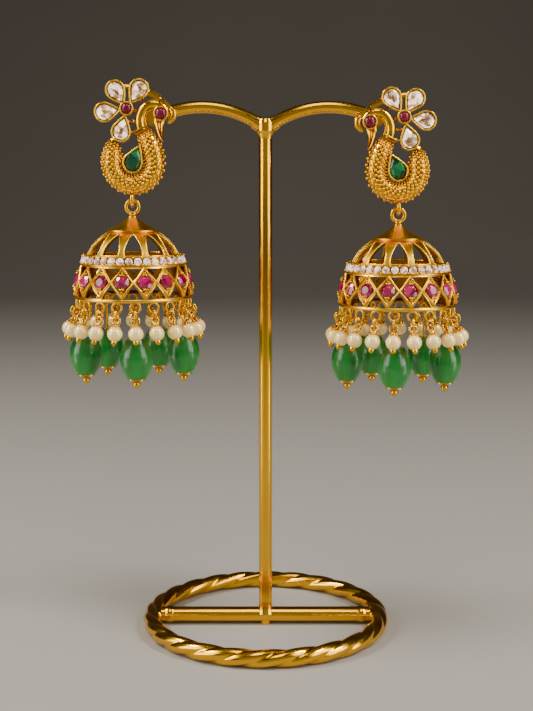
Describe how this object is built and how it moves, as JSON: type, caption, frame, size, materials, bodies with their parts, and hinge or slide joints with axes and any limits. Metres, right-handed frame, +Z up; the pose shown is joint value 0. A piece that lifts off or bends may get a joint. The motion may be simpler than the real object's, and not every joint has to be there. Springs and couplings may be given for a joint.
{
  "type": "jhumka earring pair on a two-armed earring stand",
  "caption": "Peacock stud earrings with pierced domed bells, ruby, emerald and crystal stones and hanging pearls and green beads, on a plain stand with a rope-twist base ring.",
  "frame": {"origin": "on the table, at the centre of the base ring and under the pole", "axes": "+Z up along the pole, -Y towards the front that the peacocks face, X along the two arms"},
  "size_m": [0.1002, 0.063, 0.1381],
  "materials": {
    "stand_gold": "satin gold",
    "earring_gold": "polished gold plate",
    "ruby_red": "faceted, polished",
    "emerald_green": "faceted, polished",
    "green_glass": "smooth, polished",
    "clear_crystal": "faceted, polished",
    "pearl": "pearl lustre"
  },
  "bodies": {
    "stand": {"stand_base_ring": "stand_gold", "stand_frame": "stand_gold", "left_peacock_stud": "earring_gold", "left_flower_crystal_1": "clear_crystal", "left_flower_crystal_2": "clear_crystal", "left_flower_crystal_3": "clear_crystal", "left_flower_crystal_4": "clear_crystal", "left_flower_ruby": "ruby_red", "left_eye_ruby": "ruby_red", "left_emerald": "emerald_green", "left_ear_nut": "earring_gold", "right_peacock_stud": "earring_gold", "right_flower_crystal_1": "clear_crystal", "right_flower_crystal_2": "clear_crystal", "right_flower_crystal_3": "clear_crystal", "right_flower_crystal_4": "clear_crystal", "right_flower_ruby": "ruby_red", "right_eye_ruby": "ruby_red", "right_emerald": "emerald_green", "right_ear_nut": "earring_gold"},
    "left_drop": {"left_bell_dome": "earring_gold", "left_bell_rubies": "ruby_red", "left_band_crystals": "clear_crystal", "left_pearl_links": "earring_gold", "left_pearl_pins": "earring_gold", "left_pearls": "pearl", "left_green_pins": "earring_gold", "left_green_bead_1": "green_glass", "left_green_bead_2": "green_glass", "left_green_bead_3": "green_glass", "left_green_bead_4": "green_glass", "left_green_bead_5": "green_glass"},
    "right_drop": {"right_bell_dome": "earring_gold", "right_bell_rubies": "ruby_red", "right_band_crystals": "clear_crystal", "right_pearl_links": "earring_gold", "right_pearl_pins": "earring_gold", "right_pearls": "pearl", "right_green_pins": "earring_gold", "right_green_bead_1": "green_glass", "right_green_bead_2": "green_glass", "right_green_bead_3": "green_glass", "right_green_bead_4": "green_glass", "right_green_bead_5": "green_glass"}
  },
  "joints": [
    {"name": "left_drop_swing", "type": "hinge", "parent": "stand", "child": "left_drop", "pos_m": [-0.03255, -0.0036, 0.1078], "axis": [0, 1, 0], "range_deg": [-25, 25]},
    {"name": "right_drop_swing", "type": "hinge", "parent": "stand", "child": "right_drop", "pos_m": [0.03255, -0.0036, 0.1058], "axis": [0, 1, 0], "range_deg": [-25, 25]}
  ]
}
